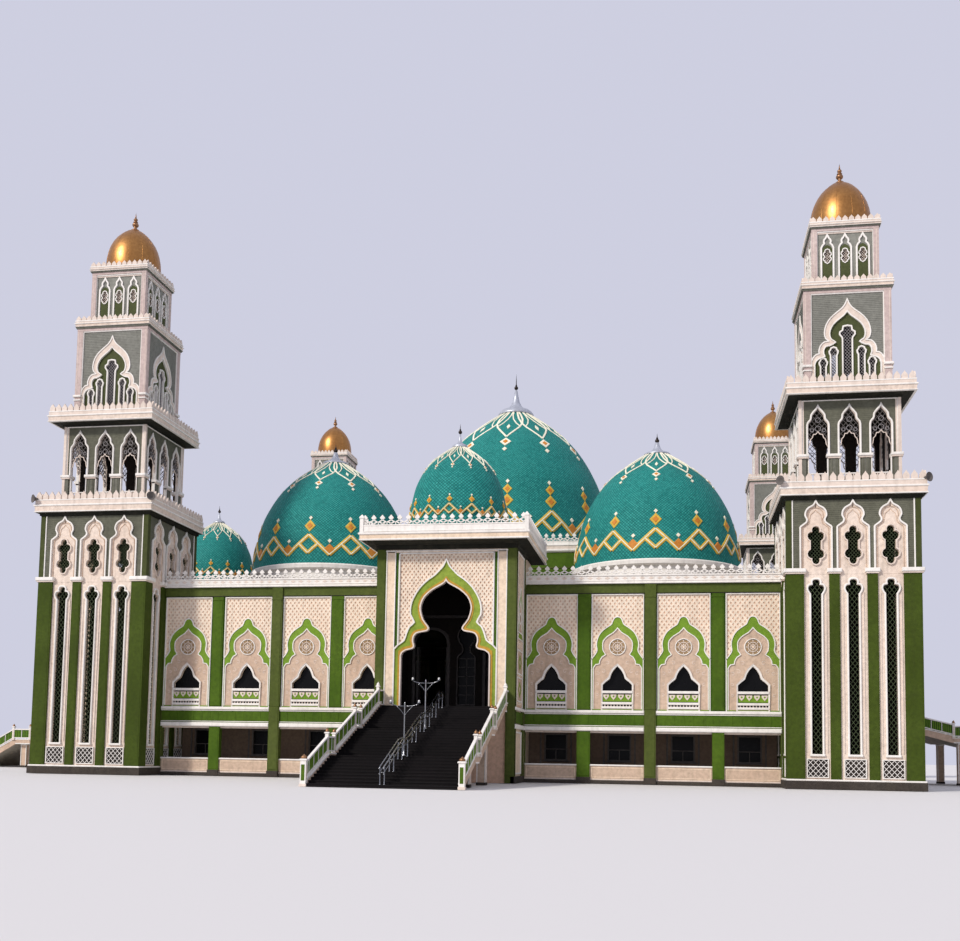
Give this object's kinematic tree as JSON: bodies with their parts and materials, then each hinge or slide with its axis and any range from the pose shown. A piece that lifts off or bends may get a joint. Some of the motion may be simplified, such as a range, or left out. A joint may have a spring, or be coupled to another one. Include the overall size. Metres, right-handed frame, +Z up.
{
  "type": "mosque building, 1:10 scale model",
  "caption": "Square mosque hall with tiled pointed domes, corner minarets with open belfries, keyhole-arched porches and broad granite stairs, as a 1:10 model.",
  "frame": {"origin": "ground level at the middle of the square hall, on the underside of the ground floor slab", "axes": "+X to the right seen from the entrance front, along the widest side over the two side stairs; -Y towards the entrance front; +Z up"},
  "size_m": [9.4812, 7.493, 4.115],
  "materials": {
    "floor_concrete": "smooth concrete floor",
    "ground_wall_paint": "cream masonry paint, in shade",
    "cream_panel": "cream relief panels of small diamonds",
    "olive_paint": "olive green masonry paint",
    "white_trim": "white painted mouldings and fretwork",
    "grey_green_paint": "grey green fields between white mouldings",
    "dome_tile": "teal scale tiles with cream and gold diamonds",
    "gold_sheet": "weathered gold coloured sheet",
    "dark_granite": "dark polished granite treads",
    "handrail_steel": "bright steel tube"
  },
  "bodies": {
    "root": {"ground_floor_slab": "floor_concrete", "main_floor": "floor_concrete", "roof_deck": "white_trim", "raised_middle_roof": "white_trim", "main_dome": "dome_tile", "front_left_dome": "dome_tile", "front_right_dome": "dome_tile", "back_left_dome": "dome_tile", "back_right_dome": "dome_tile", "front_wall_left": "cream_panel", "front_wall_right": "cream_panel", "back_wall": "cream_panel", "right_wall_front": "cream_panel", "right_wall_back": "cream_panel", "left_wall_front": "cream_panel", "left_wall_back": "cream_panel", "front_ground_wall": "ground_wall_paint", "back_ground_wall": "ground_wall_paint", "right_ground_wall": "ground_wall_paint", "left_ground_wall": "ground_wall_paint", "front_porch_walls": "olive_paint", "front_porch_roof": "white_trim", "front_porch_dome": "dome_tile", "right_porch_walls": "olive_paint", "right_porch_roof": "white_trim", "right_porch_dome": "dome_tile", "left_porch_walls": "olive_paint", "left_porch_roof": "white_trim", "left_porch_dome": "dome_tile", "front_left_minaret_tower": "olive_paint", "front_left_minaret_belfry": "grey_green_paint", "front_left_minaret_upper_stage": "grey_green_paint", "front_left_minaret_dome": "gold_sheet", "front_right_minaret_tower": "olive_paint", "front_right_minaret_belfry": "grey_green_paint", "front_right_minaret_upper_stage": "grey_green_paint", "front_right_minaret_dome": "gold_sheet", "back_left_minaret_tower": "olive_paint", "back_left_minaret_belfry": "grey_green_paint", "back_left_minaret_upper_stage": "grey_green_paint", "back_left_minaret_dome": "gold_sheet", "back_right_minaret_tower": "olive_paint", "back_right_minaret_belfry": "grey_green_paint", "back_right_minaret_upper_stage": "grey_green_paint", "back_right_minaret_dome": "gold_sheet", "front_stair_lower_flight": "dark_granite", "front_stair_middle_flight": "dark_granite", "front_stair_upper_flight": "dark_granite", "front_stair_rail_left": "white_trim", "front_stair_rail_right": "white_trim", "front_stair_handrail": "handrail_steel", "right_stair_lower_flight": "dark_granite", "right_stair_middle_flight": "dark_granite", "right_stair_upper_flight": "dark_granite", "left_stair_lower_flight": "dark_granite", "left_stair_middle_flight": "dark_granite", "left_stair_upper_flight": "dark_granite"}
  },
  "joints": []
}
